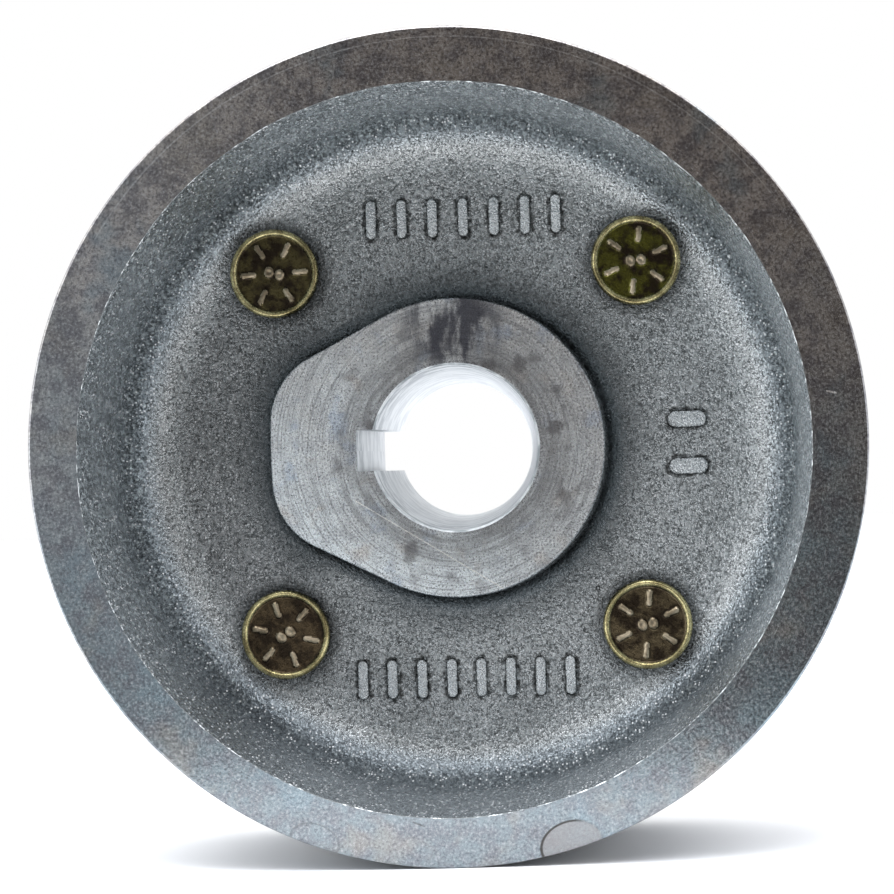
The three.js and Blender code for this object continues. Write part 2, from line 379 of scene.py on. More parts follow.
def hub_boss():
    """The boss grows with the casting's draft and runs into the web through a fillet."""
    drafted = math.tan(HUB_DRAFT)
    fillet_start = WEB_FRONT_Y - HUB_FILLET_RADIUS
    sections = [(HUB_FRONT_Y, hub_outline(-HUB_EDGE_BREAK))]
    levels = 14
    for i in range(levels):
        y = HUB_FRONT_Y + HUB_EDGE_BREAK + (fillet_start - HUB_EDGE_BREAK) * i / levels
        sections.append((y, hub_outline(y * drafted)))
    for i in range(11):
        angle = i / 10 * math.pi / 2
        flare = HUB_FILLET_RADIUS * (1 - math.cos(angle))
        y = fillet_start + HUB_FILLET_RADIUS * math.sin(angle)
        sections.append((y, hub_outline(fillet_start * drafted + flare)))
    sections.append((WEB_FRONT_Y + OVERRUN, sections[-1][1]))
    wobble = cast_wobble(BOSS_WOBBLE)

    def move(point):
        return wobble(point) if point.y > HUB_FRONT_Y + HUB_EDGE_BREAK else point

    return lofted("boss", sections, move)


def bore_tool():
    """The tapered bore with a chamfer at both ends."""
    front = HUB_FRONT_Y - OVERRUN
    back = HUB_BACK_Y + OVERRUN
    last = HUB_BACK_Y - BORE_CHAMFER
    profile = [
        (0, front),
        (BORE_RADIUS + BORE_CHAMFER + OVERRUN, front),
        (BORE_RADIUS, HUB_FRONT_Y + BORE_CHAMFER),
        (BORE_RADIUS - BORE_SLOPE * last, last),
        (BORE_RADIUS - BORE_SLOPE * HUB_BACK_Y + BORE_CHAMFER + OVERRUN, back),
        (0, back),
    ]
    return revolved("bore", profile)


def keyway_tool():
    """The keyway, open into the bore, with a floor that slopes much as the bore does."""
    front = HUB_FRONT_Y - OVERRUN
    back = HUB_BACK_Y + OVERRUN
    half = KEY_WIDTH / 2

    def section(y):
        floor = -KEY_FLOOR + KEY_FLOOR_SLOPE * y
        return (y, [(0, -half), (0, half), (floor, half), (floor, -half)])

    return lofted("keyway", [section(front), section(back)])


def stud_place(i):
    """Where stud i stands on its circle, as x and z."""
    angle = math.pi / 4 + i * math.pi / 2
    return STUD_CIRCLE_RADIUS * math.cos(angle), STUD_CIRCLE_RADIUS * math.sin(angle)


def stud_hole_tools():
    """Each stud's hole through the web, and the clearance for its head in the recess fillet."""
    tools = []
    hole = STUD_KNURL_RADIUS + 0.05 * MM
    seat = STUD_HEAD_RADIUS + 0.3 * MM
    seat_y = WEB_FRONT_Y + 0.06 * MM
    chamfer = 0.4 * MM
    profile = [
        (0, WEB_FRONT_Y - RECESS_FILLET_RADIUS),
        (seat, WEB_FRONT_Y - RECESS_FILLET_RADIUS),
        (seat, seat_y),
        (hole, seat_y),
        (hole, WEB_BACK_Y - chamfer),
        (hole + chamfer, WEB_BACK_Y),
        (hole + chamfer, WEB_BACK_Y + OVERRUN),
        (0, WEB_BACK_Y + OVERRUN),
    ]
    for i in range(len(STUD_NODES)):
        tools.append(revolved("hole", profile, steps=96, centre=stud_place(i)))
    return joined(tools)


def bar_outline(length, width, offset):
    """A bar with round ends, in the plane of the web."""
    radius = width / 2 + offset
    straight = (length - width) / 2
    return arc(0, straight, radius, 0, math.pi, 12) + arc(0, -straight, radius, math.pi, 2 * math.pi, 12)


def raised_bar(length, width, x, z, turn):
    """A raised bar cast on the web: a soft foot, steep sides and a rounded top."""
    c, s = math.cos(turn), math.sin(turn)
    sections = []
    for level, offset in BAR_LEVELS:
        y = WEB_FRONT_Y - level * BAR_HEIGHT if level > 0 else WEB_FRONT_Y - level
        outline = [(u + x, v + z) for u, v in bar_outline(length, width, offset * MM)]
        sections.append((y, [(c * u + s * v, -s * u + c * v) for u, v in outline]))
    return lofted("mark", sections, cast_wobble(BAR_WOBBLE))


def raised_bars():
    """The rows of bars above the hub, below it and on its right."""
    bars = []
    for count, first, pitch, distance, length, width, quarters in BAR_ROWS:
        for i in range(count):
            x = (first + pitch * i) * MM
            bars.append(raised_bar(length * MM, width * MM, x, distance * MM, quarters * math.pi / 2))
    return joined(bars)


def ball(centre, size):
    """A small closed lump with a radius of its own along each axis, used to cut a pore."""
    rings = 8
    turns = [math.pi * k / rings for k in range(1, rings)]
    profile = [(0, -1)] + [(math.sin(turn), -math.cos(turn)) for turn in turns] + [(0, 1)]
    lump = revolved("lump", profile, steps=16)
    place = Matrix.Translation(Vector(centre)) @ Matrix.Diagonal(Vector((*size, 1)))
    lump.data.transform(place)
    return lump


def pore_tools():
    """The large pore, and small ones wherever neither a stud nor the lobe stands in the way."""
    chance = random.Random(7)
    pores = [ball((LARGE_PORE_PLACE[0], WEB_FRONT_Y, LARGE_PORE_PLACE[1]), LARGE_PORE_SIZE)]
    clear_of_stud = STUD_HEAD_RADIUS * 1.3
    for _ in range(PORE_TRIES):
        radius = chance.uniform(*PORE_BAND) * MM
        angle = chance.uniform(0, 2 * math.pi)
        size = chance.uniform(*PORE_SIZES) * MM
        x, z = radius * math.cos(angle), radius * math.sin(angle)
        if any(math.dist((x, z), stud_place(i)) < clear_of_stud for i in range(len(STUD_NODES))):
            continue
        by_lobe = x < 0 and abs(z) < 20 * MM and radius < 34 * MM
        if by_lobe:
            continue
        pores.append(ball((x, WEB_FRONT_Y, z), (size, size, size * chance.uniform(0.8, 1.5))))
    return joined(pores)


def store_crevice(obj):
    """Keeps each vertex's distance from the hub's outline, for the dark shade round the hub's foot."""
    outline = np.array(hub_outline(0.0))
    points = np.empty(len(obj.data.vertices) * 3)
    obj.data.vertices.foreach_get("co", points)
    flat = points.reshape(-1, 3)[:, [0, 2]]
    distance = np.full(len(flat), 1.0)
    # In blocks, so that the table of distances stays small in memory.
    block = 20000
    for start in range(0, len(flat), block):
        away = flat[start : start + block, None, :] - outline[None, :, :]
        distance[start : start + block] = np.sqrt((away**2).sum(axis=2)).min(axis=1)
    layer = obj.data.attributes.new("hub_distance", "FLOAT", "POINT")
    layer.data.foreach_set("value", distance)


def build_casting():
    """The whole casting: first the cast shape, then the holes and the pores in it."""
    casting = drum()
    combined(casting, recess_tool(), "DIFFERENCE")
    combined(casting, hub_boss(), "UNION")
    combined(casting, raised_bars(), "UNION")
    combined(casting, stud_hole_tools(), "DIFFERENCE")
    combined(casting, bore_tool(), "DIFFERENCE")
    combined(casting, keyway_tool(), "DIFFERENCE")
    combined(casting, pore_tools(), "DIFFERENCE")
    casting.name = "flywheel_casting_fine"
    store_crevice(casting)
    return casting


# ----------------------------------------------------------------------------------------------- studs


def smoothstep(low, high, value):
    """0 below low, 1 above high, and a smooth rise between them."""
    t = min(max((value - low) / (high - low), 0.0), 1.0)
    return t * t * (3 - 2 * t)


def head_height(radius, angle, turn):
    """Height of the stud head's face above its dish, at a radius and angle in the head's own plane."""
    rim = smoothstep(HEAD_RIM_FOOT, HEAD_RIM_TOP, radius) * HEAD_DISH_DEPTH
    edge = smoothstep(STUD_HEAD_RADIUS - HEAD_EDGE_WIDTH, STUD_HEAD_RADIUS, radius) ** 2 * HEAD_EDGE_DROP
    ribs = 0.0
    for k in range(RIB_COUNT):
        along = radius * math.cos(angle - turn - k * math.pi / 3)
        across = radius * math.sin(angle - turn - k * math.pi / 3)
        if along < 0:
            continue
        past = max(RIB_START - along, along - RIB_END, 0.0)
        away = math.hypot(past, across)
        ribs = max(ribs, 1 - smoothstep(RIB_TOP, RIB_FOOT, away))
    u = radius * math.cos(angle - turn)
    v = radius * math.sin(angle - turn)
    # Two pads beside the middle, each with a dimple.
    pads = 0.0
    for side in (-1, 1):
        away = math.hypot((u - side * PAD_SIDE) / 0.95, (v + side * PAD_SHIFT) / 1.1)
        dimple = 0.45 * (1 - smoothstep(0.1 * MM, 0.45 * MM, away))
        pads = max(pads, 1 - smoothstep(0.55 * MM, 1.0 * MM, away) - dimple)
    return rim - edge + RIB_HEIGHT * ribs + PAD_HEIGHT * pads


def build_stud(name, centre, turn):
    """One stud along Y: dished head with six ribs, knurl, plain neck and a rolled thread."""
    under = WEB_FRONT_Y - STUD_GAP
    dish = under - STUD_HEAD_HEIGHT + HEAD_DISH_DEPTH
    neck = STUD_SHANK_RADIUS - NECK_SINK

    def face_row(radius):
        return lambda angle: (radius, dish - head_height(radius, angle, turn))

    def knurl_row(depth, tooth):
        return lambda angle: (KNURL_ROOT_RADIUS + tooth * math.cos(KNURL_TEETH * angle), under + depth)

    def thread_row(depth):
        def point_at(angle):
            # A helix of ridges with sloping flanks and flat crests, which rises out of the neck.
            phase = (depth / THREAD_PITCH - angle / (2 * math.pi)) % 1.0
            ridge = min(max(1.6 - abs(phase - 0.5) * 4.4, -0.35), 0.8) / 1.15
            crest = STUD_SHANK_RADIUS - THREAD_DEPTH * (0.7 - ridge)
            fade = smoothstep(THREAD_START, THREAD_START + THREAD_PITCH, depth)
            radius = neck + (crest - neck) * fade
            limit = STUD_SHANK_RADIUS - max(0.0, depth - (STUD_LENGTH - STUD_END_CHAMFER))
            return min(radius, limit), under + depth

        return point_at

    rows = [dish - head_height(0, 0, turn)]
    rows += [face_row(STUD_HEAD_RADIUS * k / HEAD_RINGS) for k in range(1, HEAD_RINGS + 1)]
    rows.append(circle(STUD_HEAD_RADIUS, under - 0.3 * MM))
    rows.append(circle(STUD_HEAD_RADIUS - 0.25 * MM, under))
    rows.append(circle(STUD_KNURL_RADIUS + 0.4 * MM, under))
    rows.append(knurl_row(KNURL_LEAD, 0.0))
    rows.append(knurl_row(2 * KNURL_LEAD, KNURL_TOOTH))
    rows.append(knurl_row(STUD_KNURL_LENGTH - 2 * KNURL_LEAD, KNURL_TOOTH))
    rows.append(knurl_row(STUD_KNURL_LENGTH, 0.0))
    rows.append(circle(neck, under + STUD_KNURL_LENGTH + NECK_MARGIN))
    rows.append(circle(neck, under + THREAD_START - NECK_MARGIN))
    threaded = STUD_LENGTH - THREAD_START
    count = int(threaded / THREAD_PITCH * THREAD_ROWS_PER_TURN)
    rows += [thread_row(THREAD_START + threaded * k / count) for k in range(count + 1)]
    rows.append(under + STUD_LENGTH)
    return skinned(name, STUD_STEPS, centre, rows)


# ------------------------------------------------------------------------------------------- materials


class Nodes:
    """Short calls for building one material's node tree."""

    def __init__(self, name):
        self.material = bpy.data.materials.new(name)
        self.material.use_nodes = True
        self.tree = self.material.node_tree
        self.shader = self.tree.nodes["Principled BSDF"]
        self.place = self.add("ShaderNodeTexCoord").outputs["Object"]
        split = self.add("ShaderNodeSeparateXYZ")
        self.link(self.place, split.inputs[0])
        self.x, self.y, self.z = split.outputs

    def add(self, kind, **settings):
        node = self.tree.nodes.new(kind)
        for key, value in settings.items():
            setattr(node, key, value)
        return node

    def link(self, source, target):
        self.tree.links.new(source, target)

    def feed(self, socket, value):
        if isinstance(value, (int, float)):
            socket.default_value = value
        elif isinstance(value, tuple):
            socket.default_value = (*value, 1.0) if len(socket.default_value) == 4 else value
        else:
            self.link(value, socket)

    def noise(self, scale, detail=3.0, roughness=0.55, vector=None):
        node = self.add("ShaderNodeTexNoise")
        node.inputs["Scale"].default_value = scale
        node.inputs["Detail"].default_value = detail
        node.inputs["Roughness"].default_value = roughness
        self.link(vector or self.place, node.inputs["Vector"])
        return node.outputs["Fac"]

    def math(self, operation, a, b=0.0, c=0.0):
        node = self.add("ShaderNodeMath", operation=operation)
        for socket, value in zip(node.inputs, (a, b, c)):
            self.feed(socket, value)
        return node.outputs[0]

    def vector(self, operation, a, b=(0.0, 0.0, 0.0), scale=1.0, output=0):
        node = self.add("ShaderNodeVectorMath", operation=operation)
        self.feed(node.inputs[0], a)
        if operation == "SCALE":
            self.feed(node.inputs[3], scale)
        else:
            self.feed(node.inputs[1], b)
        return node.outputs[output]

    def ramp(self, value, low, high, to_low=0.0, to_high=1.0):
        node = self.add("ShaderNodeMapRange", interpolation_type="SMOOTHSTEP")
        for key, number in (("From Min", low), ("From Max", high), ("To Min", to_low), ("To Max", to_high)):
            node.inputs[key].default_value = number
        self.link(value, node.inputs["Value"])
        return node.outputs["Result"]

    def mix(self, factor, a, b):
        node = self.add("ShaderNodeMix", data_type="RGBA")
        for socket, value in ((node.inputs[0], factor), (node.inputs[6], a), (node.inputs[7], b)):
            self.feed(socket, value)
        return node.outputs[2]

    def times(self, *factors):
        """The product of several values."""
        product = factors[0]
        for factor in factors[1:]:
            product = self.math("MULTIPLY", product, factor)
        return product

    def tint(self, tone, color, strength, *masks):
        """tone with a share of color in it: the strength times every mask."""
        return self.mix(self.times(*masks, strength), tone, color)

    def invert(self, value):
        """1 minus the value."""
        return self.math("SUBTRACT", 1.0, value)

    def away(self, value, centre):
        """How far the value is from centre, on either side."""
        return self.math("ABSOLUTE", self.math("SUBTRACT", value, centre))

    def bump(self, height, distance, strength=1.0, normal=None):
        node = self.add("ShaderNodeBump")
        node.inputs["Distance"].default_value = distance
        node.inputs["Strength"].default_value = strength
        self.link(height, node.inputs["Height"])
        if normal:
            self.link(normal, node.inputs["Normal"])
        return node.outputs["Normal"]

    def radius(self):
        """Distance from the wheel's axis, in metres."""
        square = self.math("MULTIPLY", self.x, self.x)
        return self.math("SQRT", self.math("MULTIPLY_ADD", self.z, self.z, square))

    def angle(self):
        """Angle round the wheel's axis, from -pi to pi, 0 on the +X side and rising towards +Z."""
        return self.math("ARCTAN2", self.z, self.x)

    def flat(self):
        """The point with its height along the axis left out."""
        node = self.add("ShaderNodeCombineXYZ")
        self.link(self.x, node.inputs["X"])
        self.link(self.z, node.inputs["Z"])
        return node.outputs[0]

    def from_spot(self, x, z):
        """Distance from a spot on the face, in metres. x and z are in millimetres."""
        return self.vector("DISTANCE", self.flat(), (x * MM, 0.0, z * MM), output="Value")

    def from_line(self, start, end):
        """Distance from a straight line between two spots on the face, given in millimetres."""
        a = Vector((start[0] * MM, 0, start[1] * MM))
        b = Vector((end[0] * MM, 0, end[1] * MM))
        along = b - a
        here = self.vector("SUBTRACT", self.flat(), tuple(a))
        part = self.vector("DOT_PRODUCT", here, tuple(along / along.length_squared), output="Value")
        part = self.math("MINIMUM", self.math("MAXIMUM", part, 0.0), 1.0)
        nearest = self.vector("SCALE", tuple(along), scale=part)
        return self.vector("DISTANCE", here, nearest, output="Value")

    def turned(self, along, marks_per_metre, wander, detail=3, roughness=0.6):
        """Noise drawn out round the axis. It changes fast with along, a distance in metres."""
        node = self.add("ShaderNodeCombineXYZ")
        self.link(self.times(along, marks_per_metre), node.inputs["X"])
        self.link(self.times(self.angle(), wander), node.inputs["Y"])
        return self.noise(1.0, detail, roughness, node.outputs[0])

    def stretched(self, scale):
        """The point with its coordinates scaled, to draw out a pattern along one of them."""
        node = self.add("ShaderNodeMapping")
        node.inputs["Scale"].default_value = scale
        self.link(self.place, node.inputs["Vector"])
        return node.outputs[0]

    def set(self, **values):
        names = {"color": "Base Color", "metal": "Metallic", "rough": "Roughness", "normal": "Normal"}
        for key, value in values.items():
            self.feed(self.shader.inputs[names[key]], value)


def bar_row(m, across, along, count, first, pitch, distance, length, width):
    """Distance from the nearest bar of one row of BAR_ROWS, less than 0 inside it."""
    offset = m.math("SUBTRACT", across, first * MM)
    index = m.math("ROUND", m.math("DIVIDE", offset, pitch * MM))
    index = m.math("MINIMUM", m.math("MAXIMUM", index, 0.0), count - 1.0)
    side = m.math("SUBTRACT", offset, m.times(index, pitch * MM))
    past = m.math("SUBTRACT", m.away(along, distance * MM), (length - width) / 2 * MM)
    past = m.math("MAXIMUM", past, 0.0)
    square = m.math("MULTIPLY_ADD", past, past, m.times(side, side))
    return m.math("SUBTRACT", m.math("SQRT", square), width / 2 * MM)


def nearest_bar(m):
    """Distance from the nearest raised bar on the web."""
    minus_x = m.times(m.x, -1.0)
    minus_z = m.times(m.z, -1.0)
    turned = {0: (m.x, m.z), 1: (minus_z, m.x), 2: (minus_x, minus_z)}
    rows = [bar_row(m, *turned[quarters], *sizes) for *sizes, quarters in BAR_ROWS]
    return m.math("MINIMUM", m.math("MINIMUM", rows[0], rows[1]), rows[2])


def nearest_stud(m):
    """Distance from the middle of the nearest stud."""
    spots = [m.from_spot(x / MM, z / MM) for x, z in (stud_place(i) for i in range(len(STUD_NODES)))]
    return m.math("MINIMUM", m.math("MINIMUM", spots[0], spots[1]), m.math("MINIMUM", spots[2], spots[3]))


def painted_glint_cells(m, place, outer):
    """Painted glints: white specks that stand in for light caught by crystal faces of the zinc, one in
    every few cells, more of them near the wall.
    """
    cell = m.add("ShaderNodeTexVoronoi")
    cell.inputs["Scale"].default_value = 1900
    m.link(place, cell.inputs["Vector"])
    chance = m.add("ShaderNodeSeparateColor")
    m.link(cell.outputs["Color"], chance.inputs[0])
    chosen = m.ramp(chance.outputs[0], 0.5, 0.6)
    spot = m.ramp(cell.outputs["Distance"], 0.36, 0.16)
    return m.times(chosen, spot, m.math("MULTIPLY_ADD", outer, 0.35, 0.65))


def cast_skin():
    """Zinc-plated as-cast iron: a grain with painted glints, slow changes of tone, painted shade in the
    recess, and dirt with painted shade round the bars.
    """
    m = Nodes("cast_skin")
    # The grain is drawn out along the axis, as the recess wall is seen at a flat angle.
    skin = m.stretched((1.0, 0.33, 1.0))
    fine = m.noise(2600, 2, 0.65, skin)
    coarse = m.noise(1000, 3, 0.6, skin)
    wall = m.ramp(m.radius(), 47.5 * MM, 51 * MM)
    outer = m.ramp(m.radius(), 41 * MM, 47 * MM)
    # Broad tones: bluer on the wall, and painted shade that darkens the left of the web and the web as a
    # whole.
    tone = m.mix(m.ramp(m.noise(70, 3), 0.35, 0.65), (0.48, 0.495, 0.49), (0.6, 0.615, 0.61))
    tone = m.tint(tone, (0.55, 0.62, 0.66), 0.8, wall)
    left = m.times(m.ramp(m.x, -16 * MM, -36 * MM), m.ramp(m.radius(), 47 * MM, 43 * MM))
    tone = m.tint(tone, (0.2, 0.2, 0.2), 0.45, left)
    tone = m.tint(tone, (0.2, 0.2, 0.2), 0.3, m.invert(outer))
    # Dark lines between the grains, fewer of them on the fillet, and dark hollows.
    crinkle = m.away(m.noise(2000, 2, 0.6, skin), 0.5)
    lines = m.times(m.ramp(crinkle, 0.062, 0.0), m.ramp(coarse, 0.62, 0.42, 0.5, 1.0))
    fillet = m.math("SUBTRACT", outer, wall)
    tone = m.mix(m.times(lines, m.invert(m.times(fillet, 0.3))), tone, (0.02, 0.022, 0.022))
    tone = m.tint(tone, (0.05, 0.055, 0.055), 0.75, m.ramp(fine, 0.5, 0.34))
    # Grit on the wall with bright painted glints among it, and painted shade on the wall's lower side.
    grit_and_glint_noise = m.noise(2100, 2, 0.6, skin)
    steep = m.times(wall, m.ramp(m.radius(), 50 * MM, 52 * MM, 0.25, 1.0))
    tone = m.tint(tone, (0.06, 0.08, 0.09), 0.7, steep, m.ramp(grit_and_glint_noise, 0.52, 0.38))
    tone = m.tint(tone, (0.92, 1.0, 1.0), 0.85, steep, m.ramp(grit_and_glint_noise, 0.56, 0.66))
    tone = m.tint(tone, (0.16, 0.18, 0.2), 0.5, wall, m.ramp(m.z, -15 * MM, -45 * MM))
    # Painted glints: white specks mixed into the tone where light would glint off the grain.
    painted_glint_mask = painted_glint_cells(m, skin, outer)
    tone = m.mix(painted_glint_mask, tone, (1.0, 1.0, 1.0))
    # The bars are rubbed clean on top and have a ragged dark line round the foot: dirt together with
    # painted shade in the crevice.
    bar = nearest_bar(m)
    tone = m.tint(tone, (0.72, 0.74, 0.74), 0.55, m.ramp(bar, 0.0, -0.3 * MM))
    ragged = m.math("MULTIPLY_ADD", m.noise(1500, 2), 1.8 * MM, m.away(bar, 0.25 * MM))
    tone = m.tint(tone, (0.03, 0.03, 0.028), 0.92, m.ramp(ragged, 1.3 * MM, 0.75 * MM))
    # Painted shade round the foot of the hub and round the stud heads.
    hub = m.add("ShaderNodeAttribute", attribute_name="hub_distance").outputs["Fac"]
    behind_face = m.ramp(m.y, 1 * MM, 4 * MM)
    tone = m.tint(tone, (0.07, 0.08, 0.085), 0.82, m.ramp(hub, 9 * MM, 0.6 * MM), behind_face)
    tone = m.tint(tone, (0.05, 0.055, 0.055), 0.6, m.ramp(nearest_stud(m), 9.2 * MM, 7.2 * MM))
    m.set(
        color=tone,
        metal=m.times(m.ramp(painted_glint_mask, 0.0, 1.0, 0.95, 0.1), m.math("MULTIPLY_ADD", wall, -0.32, 1.0)),
        rough=m.ramp(coarse, 0.3, 0.7, 0.18, 0.3),
        normal=m.bump(fine, 0.25 * MM, 1.0, m.bump(coarse, 0.16 * MM, 1.0)),
    )
    return m.material


def plate_and_reflection_tint(m, cool, warm, dark):
    """The uneven tint of zinc plate on a turned face, blue-grey low down and brown towards the top: partly
    the plate's own tint, partly painted reflection.
    """
    slow = m.noise(60, 4, 0.6)
    mottle = m.noise(420, 4, 0.7)
    height = m.math("MULTIPLY_ADD", m.math("SUBTRACT", slow, 0.5), 80 * MM, m.z)
    tone = m.mix(m.ramp(height, -30 * MM, 40 * MM), cool, warm)
    return m.tint(tone, dark, 0.5, m.ramp(mottle, 0.38, 0.66))


def hue_patches(m, tone, scale, strength, blue, brown):
    """Soft patches of blue and of brown in the plate."""
    hue = m.noise(scale, 3, 0.6)
    tone = m.tint(tone, blue, strength, m.ramp(hue, 0.53, 0.68))
    return m.tint(tone, brown, strength, m.ramp(hue, 0.46, 0.32))


def oval(m, x, z, turn, across, along):
    """How far out a point lies in an oval on the face: 1 on its edge. Sizes are in millimetres."""
    c, s = math.cos(math.radians(turn)), math.sin(math.radians(turn))
    dx = m.math("SUBTRACT", m.x, x * MM)
    dz = m.math("SUBTRACT", m.z, z * MM)
    u = m.math("MULTIPLY_ADD", dz, s / (across * MM), m.times(dx, c / (across * MM)))
    v = m.math("MULTIPLY_ADD", dz, c / (along * MM), m.times(dx, -s / (along * MM)))
    return m.math("SQRT", m.math("MULTIPLY_ADD", u, u, m.times(v, v)))


def rim_face():
    """The turned and plated front face of the rim, with its scuffs and witness marks."""
    m = Nodes("rim_face")
    speck = m.noise(2300, 3, 0.7)
    rings = m.turned(m.radius(), 3200, 2.0)
    tone = plate_and_reflection_tint(m, (0.235, 0.275, 0.295), (0.48, 0.44, 0.41), (0.19, 0.185, 0.21))
    # Dark mottling, stronger towards the top.
    mottle = m.ramp(m.noise(210, 5, 0.65), 0.44, 0.62)
    tone = m.mix(m.times(mottle, m.ramp(m.z, -40 * MM, 10 * MM, 0.22, 0.5)), tone, (0.16, 0.15, 0.16))
    tone = hue_patches(m, tone, 90, 0.4, (0.25, 0.34, 0.385), (0.37, 0.33, 0.28))
    # Fine light and dark specks.
    tone = m.tint(tone, (0.6, 0.6, 0.6), 0.38, m.ramp(speck, 0.5, 0.66))
    tone = m.tint(tone, (0.09, 0.09, 0.1), 0.6, m.ramp(speck, 0.48, 0.34))
    # A round witness mark at the bottom with a dark line round it, and a fainter one to its left.
    witness = oval(m, 16.5, -57.9, 16, 4.5, 3.3)
    tone = m.tint(tone, (0.27, 0.255, 0.25), 0.6, m.ramp(witness, 1.02, 0.94))
    left = m.ramp(m.x, 19.5 * MM, 16.5 * MM, 0.15, 1.0)
    tone = m.tint(tone, (0.05, 0.045, 0.04), 0.9, m.ramp(m.away(witness, 1.0), 0.07, 0.02), left)
    faint = oval(m, -20.7, -56.5, -20, 3.6, 2.4)
    tone = m.tint(tone, (0.1, 0.1, 0.1), 0.35, m.ramp(m.away(faint, 1.0), 0.08, 0.02))
    # A short dark scratch at the bottom, a bright nick on the right and a painted highlight on a fine ring
    # at the top.
    scratch = m.ramp(m.from_line((-6.3, -54.2), (-4.8, -54.8)), 0.2 * MM, 0.05 * MM)
    tone = m.tint(tone, (0.08, 0.08, 0.08), 0.6, scratch)
    nick = m.ramp(m.from_line((55.2, 6.1), (56.4, 5.8)), 0.2 * MM, 0.06 * MM)
    tone = m.mix(nick, tone, (0.95, 0.95, 0.95))
    ring = m.ramp(m.away(m.radius(), 59.4 * MM), 0.16 * MM, 0.04 * MM)
    tone = m.tint(tone, (0.8, 0.8, 0.8), 0.35, ring, m.ramp(m.z, 20 * MM, 45 * MM))
    m.set(
        color=tone,
        metal=1.0,
        rough=m.ramp(speck, 0.3, 0.7, 0.13, 0.22),
        normal=m.bump(rings, 0.012 * MM, 0.6, m.bump(speck, 0.012 * MM, 0.8)),
    )
    return m.material


def hub_face():
    """The turned front face of the hub, smudged above the bore and scratched below it."""
    m = Nodes("hub_face")
    speck = m.noise(3300, 3, 0.7)
    rings = m.turned(m.radius(), 3600, 1.3)
    broad = m.turned(m.radius(), 900, 1.4)
    # The hub face is much lighter low down than at the top: painted reflection.
    tone = plate_and_reflection_tint(m, (0.92, 0.98, 1.0), (0.64, 0.61, 0.58), (0.46, 0.47, 0.5))
    hue = m.noise(150, 3, 0.6)
    tone = m.tint(tone, (0.42, 0.52, 0.68), 0.5, m.ramp(hue, 0.55, 0.68))
    tone = m.tint(tone, (0.62, 0.52, 0.44), 0.45, m.ramp(hue, 0.44, 0.3))
    # Greyer and darker towards the right as painted reflection, with fine dark and light specks.
    tone = m.tint(tone, (0.36, 0.35, 0.35), 0.4, m.ramp(m.x, -6 * MM, 18 * MM))
    tone = m.tint(tone, (0.1, 0.1, 0.11), 0.75, m.ramp(speck, 0.48, 0.36))
    tone = m.tint(tone, (1.0, 1.0, 1.0), 0.6, m.ramp(speck, 0.53, 0.64))
    # Worn rings near the bore, stains, and the tool's fine rings.
    near_bore = m.ramp(m.radius(), 20.5 * MM, 14 * MM)
    tone = m.tint(tone, (0.2, 0.195, 0.195), 0.7, near_bore, m.ramp(broad, 0.35, 0.6, 0.35, 1.0))
    stain = m.ramp(m.noise(210, 2, 0.5), 0.56, 0.68)
    tone = m.tint(tone, (0.16, 0.15, 0.15), 0.75, stain, m.ramp(m.radius(), 24 * MM, 16 * MM))
    tone = m.tint(tone, (0.2, 0.2, 0.21), 0.55, m.ramp(rings, 0.5, 0.36))
    # The dark smudge runs up from the bore, and the scratch crosses the face below it.
    smudge = m.ramp(m.noise(300, 4, 0.6, m.stretched((1.0, 1.0, 0.4))), 0.4, 0.56)
    tone = m.tint(tone, (0.07, 0.07, 0.085), 0.92, smudge, m.ramp(m.from_spot(0.5, 18.5), 10 * MM, 4 * MM))
    scratch = m.ramp(m.from_line((-15.5, -7.7), (6.9, -21.9)), 0.1 * MM, 0.03 * MM)
    tone = m.tint(tone, (1.0, 0.98, 0.92), 0.8, scratch)
    m.set(
        color=tone,
        metal=1.0,
        rough=m.ramp(speck, 0.3, 0.7, 0.22, 0.32),
        normal=m.bump(rings, 0.03 * MM, 0.9, m.bump(speck, 0.03 * MM, 0.8)),
    )
    m.shader.inputs["Anisotropic"].default_value = 0.5
    tangent = m.add("ShaderNodeTangent", direction_type="RADIAL", axis="Y")
    m.link(tangent.outputs[0], m.shader.inputs["Tangent"])
    return m.material


def bore_wall():
    """Bright bored metal with marks that run round the bore, more of them near its front end."""
    m = Nodes("bore_wall")
    rings = m.turned(m.y, 520, 2.2, 4, 0.65)
    worn = m.times(m.ramp(rings, 0.4, 0.6), m.ramp(m.y, 12 * MM, 0.0, 0.25, 0.75))
    m.set(
        color=m.mix(worn, (0.9, 0.91, 0.91), (0.26, 0.285, 0.3)),
        metal=1.0,
        rough=0.5,
        normal=m.bump(rings, 0.1 * MM, 0.8),
    )
    m.shader.inputs["Specular Tint"].default_value = (0.45, 0.47, 0.5, 1.0)
    return m.material


def outside_face():
    """Rear face and outer surface: turned and plated, a little duller than the rim's front."""
    m = Nodes("outside_face")
    speck = m.noise(2000, 3, 0.7)
    # On the rear face the rings follow the radius, and on the outer surface they follow y.
    rings = m.turned(m.math("SUBTRACT", m.radius(), m.y), 2600, 1.5)
    tone = plate_and_reflection_tint(m, (0.25, 0.27, 0.285), (0.25, 0.24, 0.235), (0.17, 0.17, 0.18))
    tone = hue_patches(m, tone, 110, 0.4, (0.21, 0.27, 0.32), (0.29, 0.25, 0.21))
    tone = m.tint(tone, (0.12, 0.12, 0.125), 0.45, m.ramp(rings, 0.52, 0.34))
    tone = m.tint(tone, (0.1, 0.1, 0.1), 0.4, m.ramp(speck, 0.48, 0.36))
    m.set(
        color=tone,
        metal=1.0,
        rough=m.ramp(speck, 0.3, 0.7, 0.24, 0.36),
        normal=m.bump(rings, 0.015 * MM, 0.8, m.bump(speck, 0.02 * MM, 0.8)),
    )
    return m.material


